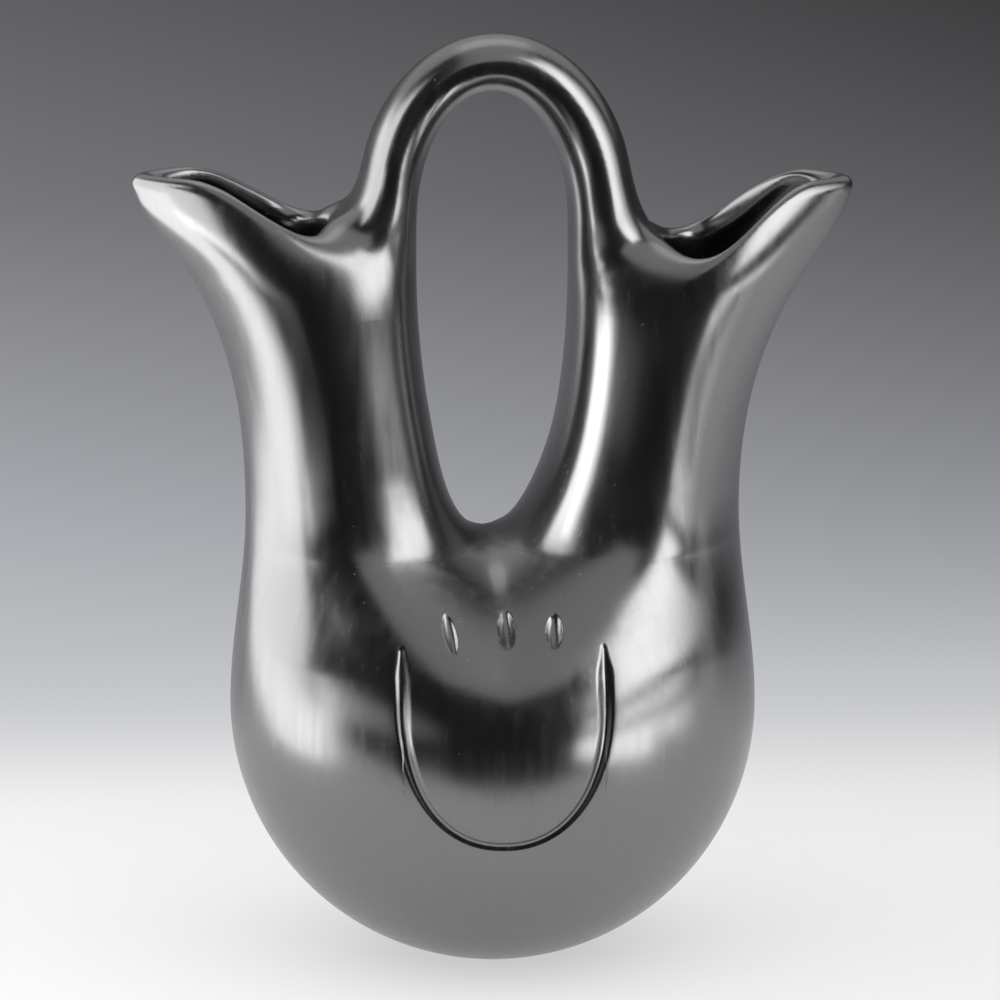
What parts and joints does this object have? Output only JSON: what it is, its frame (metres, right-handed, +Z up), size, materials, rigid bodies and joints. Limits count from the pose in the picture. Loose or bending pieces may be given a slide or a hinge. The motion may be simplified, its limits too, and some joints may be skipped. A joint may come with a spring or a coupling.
{
  "type": "wedding vase",
  "caption": "Burnished black pottery wedding vase: round body on a small flat foot, flared necks with pouring lips, and an arched handle that bridges them.",
  "frame": {"origin": "centre of the flat foot, on the surface that the vase stands on", "axes": "+Z up, +X from the left spout to the right spout, -Y towards the front with the impressed motif"},
  "size_m": [0.2474, 0.1818, 0.3205],
  "materials": {
    "blackware": "stone-burnished, smoke-fired black slip"
  },
  "bodies": {
    "root": {"base": "blackware", "lower_coil": "blackware", "belly_coil": "blackware", "upper_coil": "blackware", "shoulder": "blackware", "left_neck": "blackware", "left_throat": "blackware", "left_lip": "blackware", "right_neck": "blackware", "right_throat": "blackware", "right_lip": "blackware", "handle": "blackware"}
  },
  "joints": []
}
